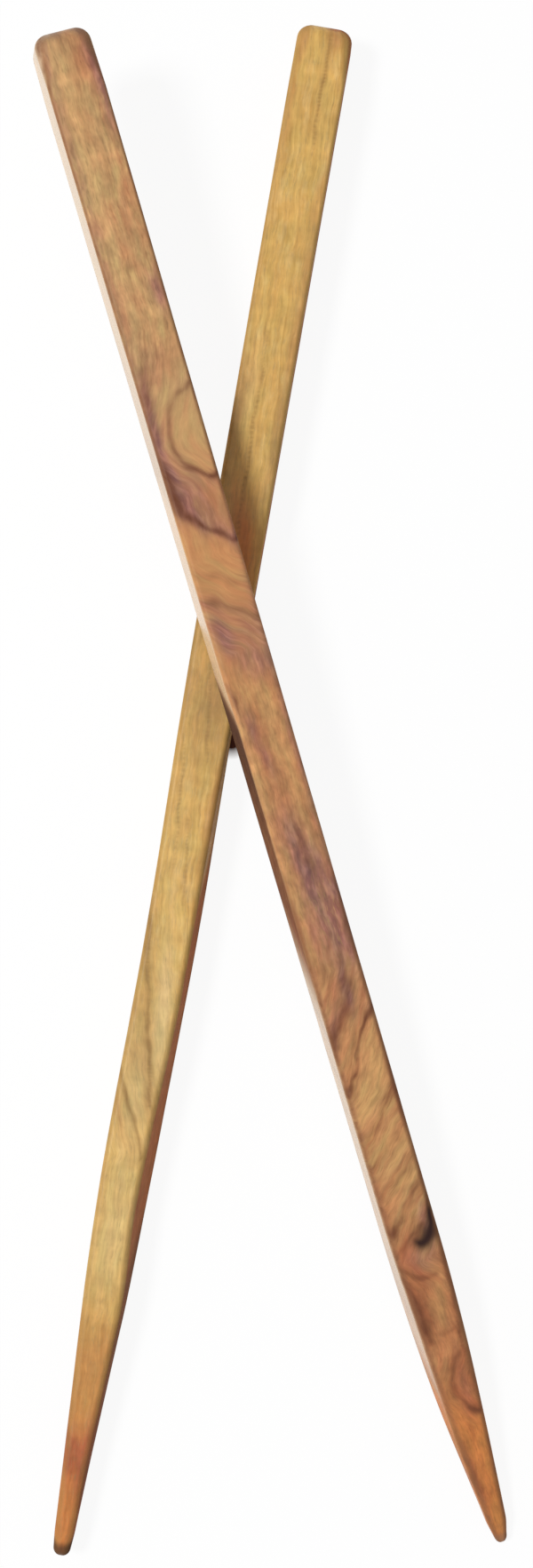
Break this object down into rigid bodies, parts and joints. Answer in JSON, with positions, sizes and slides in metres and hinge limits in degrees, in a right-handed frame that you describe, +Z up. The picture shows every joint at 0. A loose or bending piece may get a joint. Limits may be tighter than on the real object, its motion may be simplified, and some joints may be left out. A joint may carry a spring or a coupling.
{
  "type": "pair of wooden chopsticks",
  "caption": "Olive-wood chopsticks with square shafts, eased edges, rounded butts and points that taper to blunt round tips, lying crossed and leaning on each other, for picking up food.",
  "frame": {"origin": "on the table, below the middle of the box around the pair", "axes": "+X across the pair, +Y from the tips towards the butts, +Z up from the table"},
  "size_m": [0.0694, 0.227, 0.023],
  "materials": {
    "upper_olive_wood": "satin",
    "lower_olive_wood": "satin"
  },
  "bodies": {
    "root": {"upper_chopstick": "upper_olive_wood", "lower_chopstick": "lower_olive_wood"}
  },
  "joints": []
}
